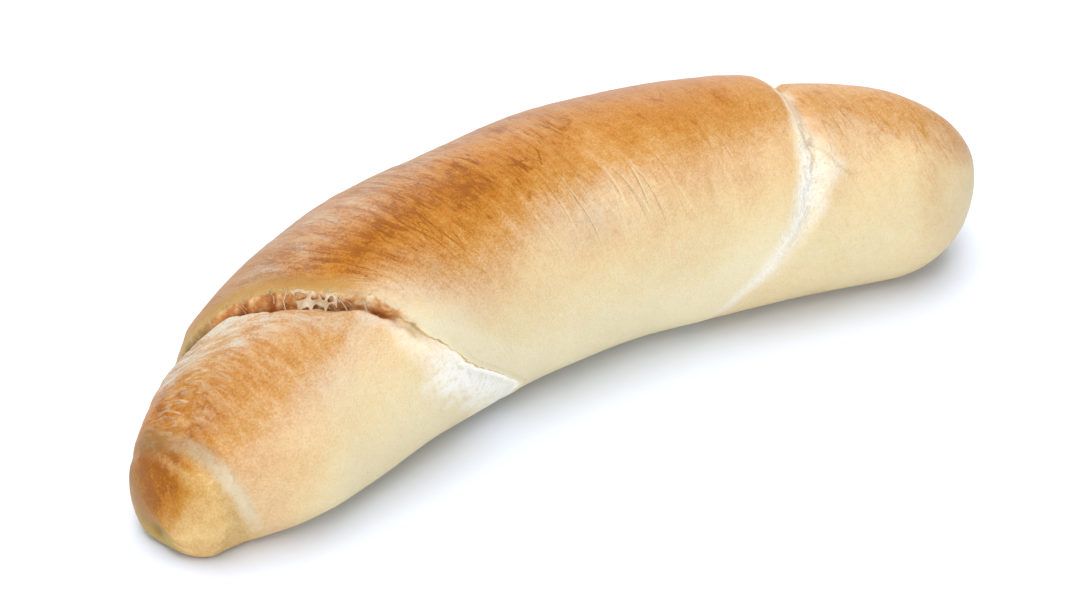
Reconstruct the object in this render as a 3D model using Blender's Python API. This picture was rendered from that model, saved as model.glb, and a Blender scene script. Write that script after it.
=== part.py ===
"""Finger roll: a wound bread roll, bent like a bow, lying on its flat baked foot.

An oval sheet of dough is rolled up from one end, so the roll is one piece of bread whose outer wrap ends
in two lips.  Both lips run round the roll as spirals and meet under its front edge.  The slim nose of the
core looks out at the -X end, and the blunt far end is at +X.

Every surface point has a station (metres along the bent centreline, from the nose) and an angle round it
(0 = the hollow front side, 90 = top, 180 = back, 270 = underside).  The chord of the bow lies along X.
"""

import bmesh
import bpy
import numpy as np

# Bent centreline: metres, degrees, and shares of the length
LENGTH = 0.196
BEND = 37.4                # the heading falls by this much from end to end, evenly
KINK = 5.5                 # and by twice this much at the left lip
KINK_AT = 0.46
KINK_REACH = 0.12
CENTRELINE_STEPS = 800

# Sections
HALF_WIDTH = 0.02595       # at the widest station
WIDEST_AT = 0.61
ASPECT = 0.88              # height over width
NOSE_TAPER = 0.605         # share of the width lost at the nose
NOSE_POWER = 4.5
FAR_TAPER = 0.251
FAR_POWER = 1.52
NOSE_DROP = 0.081          # share of the height lost on top of that
FAR_DROP = 0.056
NOSE_CAP = 0.025           # share of the length that rounds off to the tip
NOSE_CAP_POWER = 2.0
FAR_CAP = 0.119
FAR_CAP_POWER = 2.27
BELLY_AT = 0.47            # height of the widest point of a section
NOSE_TIP_AT = 0.35         # height of the tips, as shares of the section's height
FAR_TIP_AT = 0.594
BELLY_POWER = 2.8          # the section is an ellipse down to there, and grows squarer towards the foot
FOOT = 0.0012              # the rounded underside is pressed flat by this much
FRONT_SHARES = (           # width of the front side over the back side's: (share of the length, ratio)
    (0.0, 0.78), (0.035, 0.82), (0.09, 1.07), (0.17, 1.045), (0.30, 1.02), (0.45, 0.99), (0.64, 0.95),
    (0.80, 1.015), (1.0, 1.0),
)

# Small dent where the core ends, a little behind the middle of the tip
DENT_DEPTH = 0.0013
DENT_RADIUS = 0.0022
DENT_BACK = 0.0034
DENT_DOWN = 0.0008

# Slight unevenness: (height, waves along, waves round, phase)
LUMPS = (
    (0.00030, 2.3, 2, 0.4),
    (0.00024, 3.7, -3, 2.1),
    (0.00018, 6.1, 4, 4.0),
)

# Edges of the wraps.  A path holds (angle, share of the length); outer is the side that the outer wrap
# lies on, +1 towards the far end.  The outer wrap stands proud by rise and the wrap below lies lower by
# drop, both dying out over their reach; a groove with an overhang runs under the lip.  The edge has its
# full height over the stretch of angles called deep, and the share called low of it elsewhere.  The ring of
# the mesh with that number runs along it.
NOSE_RING = {
    "path": ((-30, 0.052), (0, 0.041), (40, 0.034), (90, 0.034), (135, 0.032), (170, 0.040), (210, 0.048),
             (265, 0.055)),
    "outer": 1,
    "rise": 0.0003, "rise_reach": 0.006, "drop": 0.0004, "drop_reach": 0.004,
    "edge": 0.0010, "groove": 0.0003, "groove_width": 0.0011, "overhang": 0.0,
    "deep": (30, 130), "low": 0.4, "ring": 13,
}
LEFT_LIP = {
    "path": ((-36, 0.389), (-7, 0.329), (12, 0.288), (29, 0.263), (57, 0.234), (84, 0.190), (101, 0.169),
             (119, 0.150), (137, 0.133), (157, 0.129), (182, 0.125), (212, 0.133), (270, 0.250)),
    "outer": 1,
    "rise": 0.0002, "rise_reach": 0.012, "drop": 0.0020, "drop_reach": 0.010,
    "edge": 0.0008, "groove": 0.0025, "groove_width": 0.0017, "overhang": 0.0009,
    "deep": (60, 170), "low": 0.15, "ring": 38,
}
RIGHT_LIP = {
    "path": ((-40, 0.655), (-18, 0.696), (0, 0.725), (24, 0.754), (52, 0.774), (82, 0.779), (115, 0.777),
             (160, 0.784), (205, 0.789), (270, 0.715)),
    "outer": -1,
    "rise": 0.0007, "rise_reach": 0.014, "drop": 0.0018, "drop_reach": 0.015,
    "edge": 0.0029, "groove": 0.0009, "groove_width": 0.0020, "overhang": 0.0002,
    "deep": (35, 175), "low": 0.12, "ring": 68,
}
EDGES = (NOSE_RING, LEFT_LIP, RIGHT_LIP)
DEEP_BLEND = 45            # degrees over which an edge changes between full and low height
BASE_FADE = (-0.93, 0.35)  # sine of the angle where relief starts, and the rise of sine that completes it

# Mesh
RINGS = 92
COLUMNS = 60
TIP_PACE = 0.15            # spacing of the rings at a tip and at a wrap's edge, over the mean spacing there
EDGE_PACE = 0.30

# Crust
CRUST_COLOUR = (0.72, 0.43, 0.17, 1.0)
CRUST_ROUGHNESS = 0.5


def smooth(t):
    """0 below 0, 1 above 1, an S curve between."""
    t = np.clip(t, 0, 1)
    return t * t * (3 - 2 * t)


def through(places, values, at):
    """Smooth curve through a value at each place."""
    slopes = np.gradient(values, places)
    i = np.clip(np.searchsorted(places, at, side="right") - 1, 0, len(places) - 2)
    span = places[i + 1] - places[i]
    t = (at - places[i]) / span
    start = (2 * t**3 - 3 * t**2 + 1) * values[i] + (t**3 - 2 * t**2 + t) * span * slopes[i]
    end = (3 * t**2 - 2 * t**3) * values[i + 1] + (t**3 - t**2) * span * slopes[i + 1]
    return start + end


def round_curve(points, angle):
    """Smooth closed curve through (angle, value) points, read at an angle in degrees."""
    angles, values = np.array(points, float).T
    angles = np.concatenate([angles[-2:] - 360, angles, angles[:2] + 360])
    values = np.concatenate([values[-2:], values, values[:2]])
    return through(angles, values, (angle - angles[1]) % 360 + angles[1])


def centreline():
    """Stations, x, y and heading along the bow, with both ends on the X axis."""
    share = np.linspace(0, 1, CENTRELINE_STEPS + 1)
    heading = np.radians(-BEND * share - KINK * np.tanh((share - KINK_AT) / KINK_REACH))
    heading = heading - np.arctan2(np.sin(heading).mean(), np.cos(heading).mean())
    step = LENGTH / CENTRELINE_STEPS
    x = np.concatenate([[0], np.cumsum(np.cos(heading[:-1]) + np.cos(heading[1:]))]) * step / 2
    y = np.concatenate([[0], np.cumsum(np.sin(heading[:-1]) + np.sin(heading[1:]))]) * step / 2
    return share * LENGTH, x, y, heading


def half_width(share):
    """Half the width at a station, before the ends round off."""
    nose = np.clip(1 - share / WIDEST_AT, 0, 1)
    far = np.clip((share - WIDEST_AT) / (1 - WIDEST_AT), 0, 1)
    return HALF_WIDTH * (1 - NOSE_TAPER * nose**NOSE_POWER - FAR_TAPER * far**FAR_POWER)


def full_height(share):
    """Height at a station, before the ends round off."""
    nose = np.clip(1 - share / WIDEST_AT, 0, 1)
    far = np.clip((share - WIDEST_AT) / (1 - WIDEST_AT), 0, 1)
    return 2 * half_width(share) * ASPECT * (1 - NOSE_DROP * nose**2 - FAR_DROP * far**2)


def end_cap(share):
    """1 along the roll, falling to 0 at both tips as a rounded end does."""
    nose = 1 - np.clip(1 - share / NOSE_CAP, 0, 1) ** NOSE_CAP_POWER
    far = 1 - np.clip(1 - (1 - share) / FAR_CAP, 0, 1) ** FAR_CAP_POWER
    return np.sqrt(np.clip(nose, 0, 1) * np.clip(far, 0, 1))


def section_point(share, angle, outward):
    """Offset to the front and height of a point on the section, moved outward from its middle."""
    cap = end_cap(share)
    height = full_height(share)
    to_far = smooth((share - 0.3) / 0.4)
    tip = (NOSE_TIP_AT * (1 - to_far) + FAR_TIP_AT * to_far) * height
    top = tip + (height - tip) * cap
    bottom = tip * (1 - cap)
    belly = tip + (BELLY_AT * height - tip) * cap
    cos = np.cos(angle)
    sin = np.sin(angle)
    squared = 2 / (2 + (BELLY_POWER - 2) * smooth(-sin))
    front = half_width(share) * cap * np.sign(cos) * np.abs(cos) ** squared
    front = np.where(cos > 0, front * through(*np.array(FRONT_SHARES).T, share), front)
    rise = np.where(sin >= 0, top - belly, bottom - belly) * np.abs(sin) ** squared
    grow = 1 + outward / (np.hypot(front, rise) + 1e-9)
    return front * grow, belly + rise * grow - FOOT


def base_fade(angle):
    """0 on the underside, 1 on the sides and top."""
    return smooth((np.sin(angle) - BASE_FADE[0]) / BASE_FADE[1])


def edge_strength(edge, degrees):
    """Share of an edge's full height at an angle."""
    turned = (degrees + 90) % 360 - 90
    start, end = edge["deep"]
    deep = smooth((turned - start) / DEEP_BLEND + 1) * smooth((end - turned) / DEEP_BLEND + 1)
    return edge["low"] + (1 - edge["low"]) * deep


def edge_relief(edge, station, angle):
    """Outward offset and shift along the roll that one wrap's edge makes."""
    degrees = np.degrees(angle)
    away = (station - round_curve(edge["path"], degrees) * LENGTH) * edge["outer"]
    strength = edge_strength(edge, degrees) * base_fade(angle)
    outer = 0.5 * (1 + np.tanh(away / edge["edge"]))
    lip = outer * edge["rise"] * np.exp(-np.maximum(away, 0) / edge["rise_reach"])
    below = (1 - outer) * edge["drop"] * np.exp(np.minimum(away, 0) / edge["drop_reach"])
    under_lip = np.exp(-((away + edge["edge"]) / edge["groove_width"]) ** 2)
    over_lip = np.exp(-((away - edge["edge"]) / edge["groove_width"]) ** 2)
    outward = strength * (lip - below - edge["groove"] * under_lip)
    along = strength * edge["outer"] * edge["overhang"] * (under_lip - over_lip)
    return outward, along


def lumps(station, angle):
    """Slight unevenness of the crust."""
    total = np.zeros_like(station)
    for size, along, around, phase in LUMPS:
        total += size * np.sin(2 * np.pi * along * station / LENGTH + around * angle + phase)
    return total * base_fade(angle) * end_cap(station / LENGTH)


def roll_surface(station, angle):
    """Surface points, as an array of x, y, z, with the foot at z = 0."""
    outward = lumps(station, angle)
    shifted = station.copy()
    for edge in EDGES:
        out, along = edge_relief(edge, station, angle)
        outward += out
        shifted += along
    stations, x, y, heading = centreline()
    shifted = np.clip(shifted, 0, LENGTH)
    front, z = section_point(shifted / LENGTH, angle, outward)
    turn = np.interp(shifted, stations, heading)
    tip_z = NOSE_TIP_AT * full_height(0.0) - FOOT - DENT_DOWN
    from_dent = np.hypot(front + DENT_BACK, z - tip_z)
    near_tip = smooth(2 - station / (NOSE_CAP * LENGTH))
    dent = DENT_DEPTH * np.exp(-((from_dent / DENT_RADIUS) ** 2)) * near_tip
    px = np.interp(shifted, stations, x) + front * np.sin(turn) + dent * np.cos(turn)
    py = np.interp(shifted, stations, y) - front * np.cos(turn) + dent * np.sin(turn)
    return np.stack([px, py, np.maximum(z, 0)], axis=-1)


def spaced(t, start, end):
    """0 to 1, passing t = 0 and t = 1 at the given shares of the mean pace."""
    return (t**3 - 2 * t**2 + t) * start + (3 * t**2 - 2 * t**3) + (t**3 - t**2) * end


def ring_stations(share, angle):
    """Station of each share of the rings: a ring runs along each wrap's edge, with more close beside it."""
    ring = share * RINGS
    rings = [0] + [edge["ring"] for edge in EDGES] + [RINGS]
    stations = [0] + [round_curve(edge["path"], np.degrees(angle)) * LENGTH for edge in EDGES] + [LENGTH]
    paces = [TIP_PACE] + [EDGE_PACE for edge in EDGES] + [TIP_PACE]
    result = np.zeros_like(share)
    for i in range(len(rings) - 1):
        t = np.clip((ring - rings[i]) / (rings[i + 1] - rings[i]), 0, 1)
        result += (stations[i + 1] - stations[i]) * spaced(t, paces[i], paces[i + 1])
    return result


def shape_roll(mesh):
    """Turn a round ball of rings and columns into the roll, standing on z = 0 around the origin."""
    ball = np.array([vertex.co for vertex in mesh.verts], float)
    share = np.arccos(np.clip(ball[:, 2], -1, 1)) / np.pi
    column = np.round(np.arctan2(ball[:, 1], ball[:, 0]) * COLUMNS / (2 * np.pi)) % COLUMNS
    angle = column * 2 * np.pi / COLUMNS
    points = roll_surface(ring_stations(share, angle), angle)
    middle = (points.min(axis=0) + points.max(axis=0)) / 2
    for vertex, point in zip(mesh.verts, points):
        vertex.co = (point[0] - middle[0], point[1] - middle[1], point[2])


def crust_material():
    """Golden baked crust."""
    material = bpy.data.materials.new("crust")
    material.use_nodes = True
    shader = material.node_tree.nodes["Principled BSDF"]
    shader.inputs["Base Color"].default_value = CRUST_COLOUR
    shader.inputs["Roughness"].default_value = CRUST_ROUGHNESS
    shader.inputs["Metallic"].default_value = 0.0
    return material


def make_roll(collection):
    """The whole roll, one closed body."""
    ball = bmesh.new()
    bmesh.ops.create_uvsphere(ball, u_segments=COLUMNS, v_segments=RINGS, radius=1.0)
    shape_roll(ball)
    mesh = bpy.data.meshes.new("roll")
    ball.to_mesh(mesh)
    ball.free()
    mesh.shade_smooth()
    mesh.materials.append(crust_material())
    roll = bpy.data.objects.new("roll", mesh)
    collection.objects.link(roll)
    return roll


def main():
    for old in list(bpy.data.objects):
        bpy.data.objects.remove(old, do_unlink=True)
    collection = bpy.data.collections.new("finger_roll")
    bpy.context.scene.collection.children.link(collection)
    make_roll(collection)


main()
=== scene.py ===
"""Looks of the finger roll: its crust, the torn dough under its left lip, floor, light and camera.

Every surface point has a station (metres along the bent centreline, from the nose) and an angle round it
(0 = the hollow front side, 90 = top, 180 = back, 270 = underside), as in the solid that the crust replaces.
"""

import math

import bmesh
import bpy
import numpy as np
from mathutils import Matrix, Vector


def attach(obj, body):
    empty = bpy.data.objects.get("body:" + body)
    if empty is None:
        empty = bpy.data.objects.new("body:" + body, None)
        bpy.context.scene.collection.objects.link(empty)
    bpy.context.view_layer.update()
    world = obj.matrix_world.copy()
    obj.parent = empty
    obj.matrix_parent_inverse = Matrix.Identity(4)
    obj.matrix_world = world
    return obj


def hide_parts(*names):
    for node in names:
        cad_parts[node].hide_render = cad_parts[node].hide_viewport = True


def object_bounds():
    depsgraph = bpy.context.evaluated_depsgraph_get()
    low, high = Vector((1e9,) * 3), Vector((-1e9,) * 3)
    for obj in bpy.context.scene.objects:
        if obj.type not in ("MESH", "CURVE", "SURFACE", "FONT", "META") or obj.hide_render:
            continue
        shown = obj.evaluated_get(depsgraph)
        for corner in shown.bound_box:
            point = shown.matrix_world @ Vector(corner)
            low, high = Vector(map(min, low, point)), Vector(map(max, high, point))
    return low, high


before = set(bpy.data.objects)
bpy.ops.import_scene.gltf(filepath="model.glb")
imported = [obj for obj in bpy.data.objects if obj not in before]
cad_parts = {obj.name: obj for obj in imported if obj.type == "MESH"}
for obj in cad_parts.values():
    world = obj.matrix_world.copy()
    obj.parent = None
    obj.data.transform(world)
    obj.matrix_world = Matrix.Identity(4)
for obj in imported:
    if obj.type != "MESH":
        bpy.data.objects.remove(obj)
cad_low, cad_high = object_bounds()

# ---- Form of the roll, metres and degrees, as in the solid ----
LENGTH = 0.196
BEND = 37.4
KINK = 5.5
KINK_AT = 0.46
KINK_REACH = 0.12
CENTRELINE_STEPS = 800
HALF_WIDTH = 0.02595
WIDEST_AT = 0.61
ASPECT = 0.88
NOSE_TAPER = 0.605
NOSE_POWER = 4.5
FAR_TAPER = 0.251
FAR_POWER = 1.52
NOSE_DROP = 0.081
FAR_DROP = 0.056
NOSE_CAP = 0.025
NOSE_CAP_POWER = 2.0
FAR_CAP = 0.119
FAR_CAP_POWER = 2.27
BELLY_AT = 0.47
NOSE_TIP_AT = 0.35
FAR_TIP_AT = 0.594
BELLY_POWER = 2.8
FOOT = 0.0012
FRONT_SHARES = (
    (0.0, 0.78), (0.035, 0.82), (0.09, 1.07), (0.17, 1.045), (0.3, 1.02), (0.45, 0.99), (0.64, 0.95),
    (0.8, 1.015), (1.0, 1.0),
)
DENT_DEPTH = 0.0013
DENT_RADIUS = 0.0022
DENT_BACK = 0.0034
DENT_DOWN = 0.0008
LUMPS = (
    (0.0003, 2.3, 2, 0.4),
    (0.00024, 3.7, -3, 2.1),
    (0.00018, 6.1, 4, 4.0),
)
NOSE_RING = dict(
    path=((-30, 0.052), (0, 0.041), (40, 0.034), (90, 0.034), (135, 0.032), (170, 0.04), (210, 0.048),
          (265, 0.055)),
    outer=1,
    rise=0.0003, rise_reach=0.006, drop=0.0004, drop_reach=0.004,
    edge=0.001, groove=0.0003, groove_width=0.0011, overhang=0.0,
    deep=(30, 130), low=0.4, ring=13, ragged=0.0003,
)
LEFT_LIP = dict(
    path=((-36, 0.389), (-7, 0.329), (12, 0.288), (29, 0.263), (57, 0.234), (84, 0.19), (101, 0.169),
          (119, 0.15), (137, 0.133), (157, 0.129), (182, 0.125), (212, 0.133), (270, 0.25)),
    outer=1,
    rise=0.0002, rise_reach=0.012, drop=0.002, drop_reach=0.01,
    edge=0.0008, groove=0.0025, groove_width=0.0017, overhang=0.0009,
    deep=(60, 170), low=0.15, ring=38, ragged=0.0005,
)
RIGHT_LIP = dict(
    path=((-40, 0.655), (-18, 0.696), (0, 0.725), (24, 0.754), (52, 0.774), (82, 0.779), (115, 0.777),
          (160, 0.784), (205, 0.789), (270, 0.715)),
    outer=-1,
    rise=0.0007, rise_reach=0.014, drop=0.0018, drop_reach=0.015,
    edge=0.0029, groove=0.0009, groove_width=0.002, overhang=0.0002,
    deep=(35, 175), low=0.12, ring=68, ragged=0.0004,
)
EDGES = (NOSE_RING, LEFT_LIP, RIGHT_LIP)
DEEP_BLEND = 45
BASE_FADE = (-0.93, 0.35)
CAD_RINGS = 92
CAD_COLUMNS = 60

# Fine mesh of the crust
RING_SHARES = (0.0, 0.06, 0.28, 0.78, 1.0)  # of the rings: at the nose, the edges and the far tip
RINGS = 560
COLUMNS = 172
CROWD_AT = 70  # columns are closest at this angle, and furthest apart opposite
CROWDING = 0.45
TIP_PACE = 0.15
EDGE_PACE = 0.3

# Wrinkles round the roll: (spacing along the roll, steps round it, height, seed)
WRINKLES = (
    (0.0042, 16, 0.00008, 11),
    (0.0022, 30, 0.00007, 12),
    (0.0012, 48, 0.00006, 13),
)
WANDER = (0.016, 7, 0.0016, 14)  # slow wander of the wrinkles' lines
LEAN = (0.006, 50)  # they lean towards the far end, most at this angle
FOLLOW = (0.016, 0.008)  # within this reach of an edge they run along it, shifted by up to so much
STRETCHES = (0.0013, 11, 0.00016, 18)  # marks on the shoulder, where the dough was stretched
BLISTERS = (0.006, 22, 0.00012, 15)  # soft dimples of the skin
CRUMPLES = (0.0011, 90, 0.00042, 16)  # crumpled dough along the right lip
TEARS = (0.001, 84, 0.00032, 17)  # torn wall under the left lip

# Hollows in the torn wall under the left lip: (degrees, half width, share of the depth)
HOLLOWS = ((110.5, 8.0, 1.0), (96.0, 7.0, 0.95), (86.0, 3.0, 0.3), (66.5, 6.0, 0.4), (51.0, 7.0, 0.75))
HOLLOW_DEPTH = 0.0009

# Dough that bridges the gap under the left lip: webs with the angles that each spans, and its holes as
# (angle, share of the way down, half widths in metres)
WEBS = (
    ((70.5, 92.5), (
        (86.4, 0.38, 0.00104, 0.00088), (81.0, 0.42, 0.0006, 0.00052), (78.0, 0.36, 0.0005, 0.00066),
        (75.2, 0.5, 0.00056, 0.0006), (72.6, 0.36, 0.00046, 0.0007), (90.4, 0.74, 0.0005, 0.0006),
        (84.0, 1.00, 0.00084, 0.00085), (79.4, 0.98, 0.001, 0.0012), (74.6, 1.00, 0.0011, 0.0013),
    )),
    ((59.5, 63.5), ((61.6, 0.42, 0.00055, 0.00085),)),
    ((101.8, 105.0), ((103.4, 0.5, 0.00038, 0.00085),)),
)
WEB_STEPS = (170, 44)
ACROSS = -6.0  # change of angle straight across the gap
WEB_TOP = (0.002, -0.0002)  # metres above the lip, and outward of the crust
WEB_FOOT = (-0.003, -0.0004)
WEB_BULGE = 0.00045
WEB_THICKNESS = 0.00012
STRAND_PLACES = (119, 112, 107, 103, 98, 94, 91, 77, 75, 73, 70, 64, 58, 52)
STRANDS = 42
STRAND_SEED = 41
STRAND_POINTS = 9
CROSSING = 0.36  # share of the strands that cross the gap

# Lines on the skin: a crease beyond the right lip (mm along the roll, degrees), a crevice beside that lip
# (degrees, mm along the roll) and a light streak on the nose (degrees, mm from the ring)
CREASE = ((154.0, 57.0), (156.5, 52.0), (158.5, 44.0), (161.5, 38.0))
CREVICE = ((40.0, 152.6), (46.0, 153.6), (52.0, 153.7), (60.0, 153.0), (68.0, 152.6))
NOSE_STREAK = ((69.0, -3.1), (83.0, -3.0), (96.0, -2.7), (109.0, -2.2), (120.0, -1.7))


# ---- Form ----
def smooth(t):
    """0 below 0, 1 above 1, an S curve between."""
    t = np.clip(t, 0, 1)
    return t * t * (3 - 2 * t)


def step(x, start, width):
    """0 before the start, 1 from a width past it on; a width below 0 turns it round."""
    return smooth((x - start) / width)


def through(places, values, at):
    """Smooth curve through a value at each place."""
    slopes = np.gradient(values, places)
    i = np.clip(np.searchsorted(places, at, side="right") - 1, 0, len(places) - 2)
    span = places[i + 1] - places[i]
    t = (at - places[i]) / span
    start = (2 * t**3 - 3 * t**2 + 1) * values[i] + (t**3 - 2 * t**2 + t) * span * slopes[i]
    end = (3 * t**2 - 2 * t**3) * values[i + 1] + (t**3 - t**2) * span * slopes[i + 1]
    return start + end


def round_curve(points, angle):
    """Smooth closed curve through (angle, value) points, read at an angle in degrees."""
    angles, values = np.array(points, float).T
    angles = np.concatenate([angles[-2:] - 360, angles, angles[:2] + 360])
    values = np.concatenate([values[-2:], values, values[:2]])
    return through(angles, values, (angle - angles[1]) % 360 + angles[1])


def centreline():
    """Stations, x, y and heading along the bow, with both ends on the X axis."""
    share = np.linspace(0, 1, CENTRELINE_STEPS + 1)
    heading = np.radians(-BEND * share - KINK * np.tanh((share - KINK_AT) / KINK_REACH))
    heading = heading - np.arctan2(np.sin(heading).mean(), np.cos(heading).mean())
    pace = LENGTH / CENTRELINE_STEPS
    x, y = [
        np.concatenate([[0], np.cumsum(way[:-1] + way[1:])]) * pace / 2
        for way in (np.cos(heading), np.sin(heading))
    ]
    return share * LENGTH, x, y, heading


def towards_ends(share):
    """How far a station lies from the widest place towards the nose, and towards the far tip."""
    return np.clip(1 - share / WIDEST_AT, 0, 1), np.clip((share - WIDEST_AT) / (1 - WIDEST_AT), 0, 1)


def half_width(share):
    """Half the width at a station, before the ends round off."""
    nose, far = towards_ends(share)
    return HALF_WIDTH * (1 - NOSE_TAPER * nose**NOSE_POWER - FAR_TAPER * far**FAR_POWER)


def full_height(share):
    """Height at a station, before the ends round off."""
    nose, far = towards_ends(share)
    return 2 * half_width(share) * ASPECT * (1 - NOSE_DROP * nose**2 - FAR_DROP * far**2)


def end_cap(share):
    """1 along the roll, falling to 0 at both tips as a rounded end does."""
    nose = 1 - np.clip(1 - share / NOSE_CAP, 0, 1) ** NOSE_CAP_POWER
    far = 1 - np.clip(1 - (1 - share) / FAR_CAP, 0, 1) ** FAR_CAP_POWER
    return np.sqrt(np.clip(nose, 0, 1) * np.clip(far, 0, 1))


def section_point(share, angle, outward):
    """Offset to the front and height of a point on the section, moved outward from its middle."""
    cap = end_cap(share)
    height = full_height(share)
    to_far = smooth((share - 0.3) / 0.4)
    tip = (NOSE_TIP_AT * (1 - to_far) + FAR_TIP_AT * to_far) * height
    top = tip + (height - tip) * cap
    bottom = tip * (1 - cap)
    belly = tip + (BELLY_AT * height - tip) * cap
    cos = np.cos(angle)
    sin = np.sin(angle)
    squared = 2 / (2 + (BELLY_POWER - 2) * smooth(-sin))
    front = half_width(share) * cap * np.sign(cos) * np.abs(cos) ** squared
    front = np.where(cos > 0, front * through(*np.array(FRONT_SHARES).T, share), front)
    rise = np.where(sin >= 0, top - belly, bottom - belly) * np.abs(sin) ** squared
    grow = 1 + outward / (np.hypot(front, rise) + 1e-9)
    return front * grow, belly + rise * grow - FOOT


def base_fade(angle):
    """0 on the underside, 1 on the sides and top."""
    return smooth((np.sin(angle) - BASE_FADE[0]) / BASE_FADE[1])


def turned(degrees):
    """The same angle, between -90 and 270."""
    return (degrees + 90) % 360 - 90


def edge_strength(edge, degrees):
    """Share of an edge's full height at an angle."""
    start, end = edge["deep"]
    at = turned(degrees)
    deep = smooth((at - start) / DEEP_BLEND + 1) * smooth((end - at) / DEEP_BLEND + 1)
    return edge["low"] + (1 - edge["low"]) * deep


def edge_station(edge, degrees):
    """Station of a wrap's edge at an angle."""
    return round_curve(edge["path"], degrees) * LENGTH


def edge_away(edge, station, angle, detail):
    """Metres from a wrap's edge, positive on the outer wrap; ragged where detail is 1."""
    ragged = edge["ragged"] * detail * (ring_noise(angle, 47, 3) + 0.6 * ring_noise(angle, 131, 4))
    return (station - edge_station(edge, np.degrees(angle)) - ragged) * edge["outer"]


def edge_relief(edge, station, angle, detail):
    """Outward offset and shift along the roll that one wrap's edge makes."""
    away = edge_away(edge, station, angle, detail)
    strength = edge_strength(edge, np.degrees(angle)) * base_fade(angle)
    outer = 0.5 * (1 + np.tanh(away / edge["edge"]))
    lip = outer * edge["rise"] * np.exp(-np.maximum(away, 0) / edge["rise_reach"])
    below = (1 - outer) * edge["drop"] * np.exp(np.minimum(away, 0) / edge["drop_reach"])
    under_lip = np.exp(-((away + edge["edge"]) / edge["groove_width"]) ** 2)
    over_lip = np.exp(-((away - edge["edge"]) / edge["groove_width"]) ** 2)
    outward = strength * (lip - below - edge["groove"] * under_lip)
    along = strength * edge["outer"] * edge["overhang"] * (under_lip - over_lip)
    return outward, along


def lumps(station, angle):
    """Slight unevenness of the crust."""
    total = np.zeros_like(station)
    for size, along, around, phase in LUMPS:
        total += size * np.sin(2 * np.pi * along * station / LENGTH + around * angle + phase)
    return total * base_fade(angle) * end_cap(station / LENGTH)


def dent_height():
    """Height of the middle of the nose's dent."""
    return NOSE_TIP_AT * full_height(0.0) - FOOT - DENT_DOWN


def near_tip(station):
    """1 at the nose's tip, 0 where its cap has been passed twice."""
    return smooth(2 - station / (NOSE_CAP * LENGTH))


def roll_surface(station, angle, fine=0.0, detail=0):
    """Surface points as an array of x, y, z, with the foot at z = 0."""
    outward = lumps(station, angle) + fine
    shifted = station + np.zeros_like(outward)
    for edge in EDGES:
        out, along = edge_relief(edge, station, angle, detail)
        outward += out
        shifted += along
    stations, x, y, heading = centreline()
    shifted = np.clip(shifted, 0, LENGTH)
    front, z = section_point(shifted / LENGTH, angle, outward)
    turn = np.interp(shifted, stations, heading)
    from_dent = np.hypot(front + DENT_BACK, z - dent_height())
    dent = DENT_DEPTH * np.exp(-((from_dent / DENT_RADIUS) ** 2)) * near_tip(station)
    px = np.interp(shifted, stations, x) + front * np.sin(turn) + dent * np.cos(turn)
    py = np.interp(shifted, stations, y) - front * np.cos(turn) + dent * np.sin(turn)
    return np.stack([px, py, np.maximum(z, 0)], axis=-1)


def spaced(t, start, end):
    """0 to 1, passing t = 0 and t = 1 at the given shares of the mean pace."""
    return (t**3 - 2 * t**2 + t) * start + (3 * t**2 - 2 * t**3) + (t**3 - t**2) * end


def ring_stations(ring, rings, angle):
    """Station of each ring: a ring runs along each wrap's edge, with more close beside it."""
    stations = [0] + [edge_station(edge, np.degrees(angle)) for edge in EDGES] + [LENGTH]
    paces = [TIP_PACE] + [EDGE_PACE for edge in EDGES] + [TIP_PACE]
    result = np.zeros_like(angle)
    for i in range(len(rings) - 1):
        t = np.clip((ring - rings[i]) / (rings[i + 1] - rings[i]), 0, 1)
        result += (stations[i + 1] - stations[i]) * spaced(t, paces[i], paces[i + 1])
    return result


def grid(rings, columns):
    """Ring number and angle of each point of a grid over the roll."""
    turns = np.arange(columns) * 2 * np.pi / columns
    return [a.astype(float) for a in np.meshgrid(rings, turns, indexing="ij")]


def cad_middle():
    """Middle of the solid's box before it was moved to the origin."""
    ring, angle = grid(np.arange(CAD_RINGS + 1), CAD_COLUMNS)
    rings = [0] + [edge["ring"] for edge in EDGES] + [CAD_RINGS]
    points = roll_surface(ring_stations(ring, rings, angle), angle).reshape(-1, 3)
    middle = (points.min(axis=0) + points.max(axis=0)) / 2
    return np.array([middle[0], middle[1], 0.0])


# ---- Noise ----
def steps_round(angle, count):
    """The steps before and after an angle, of count in a turn, and how far it lies between them."""
    place = (angle / (2 * np.pi) * count) % count
    before = np.floor(place).astype(int) % count
    return before, (before + 1) % count, smooth(place - np.floor(place))


def ring_noise(angle, count, seed):
    """Smooth noise round the roll, with that many steps in a turn, between -1 and 1."""
    values = np.random.default_rng(seed).uniform(-1, 1, count)
    j, k, t = steps_round(angle, count)
    return values[j] * (1 - t) + values[k] * t


def skin_noise(station, angle, spacing, count, seed):
    """Smooth noise over the skin: its own spacing along the roll, and count steps in a turn."""
    rows = int(LENGTH / spacing) + 4
    values = np.random.default_rng(seed).uniform(-1, 1, (rows, count))
    u = np.clip(station / spacing + 1, 0, rows - 2.001)
    i = np.floor(u).astype(int)
    s = smooth(u - np.floor(u))
    j, k, t = steps_round(angle, count)
    low = values[i, j] * (1 - t) + values[i, k] * t
    high = values[i + 1, j] * (1 - t) + values[i + 1, k] * t
    return low * (1 - s) + high * s


def bell(x, middle, half):
    """1 at the middle, 0 at half and beyond, smooth."""
    return smooth(1 - np.abs(x - middle) / half)


def lip_deepness(degrees):
    """1 where the left lip stands open, 0 where it lies closed."""
    return step(edge_strength(LEFT_LIP, degrees), 0.3, 0.5)


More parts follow.
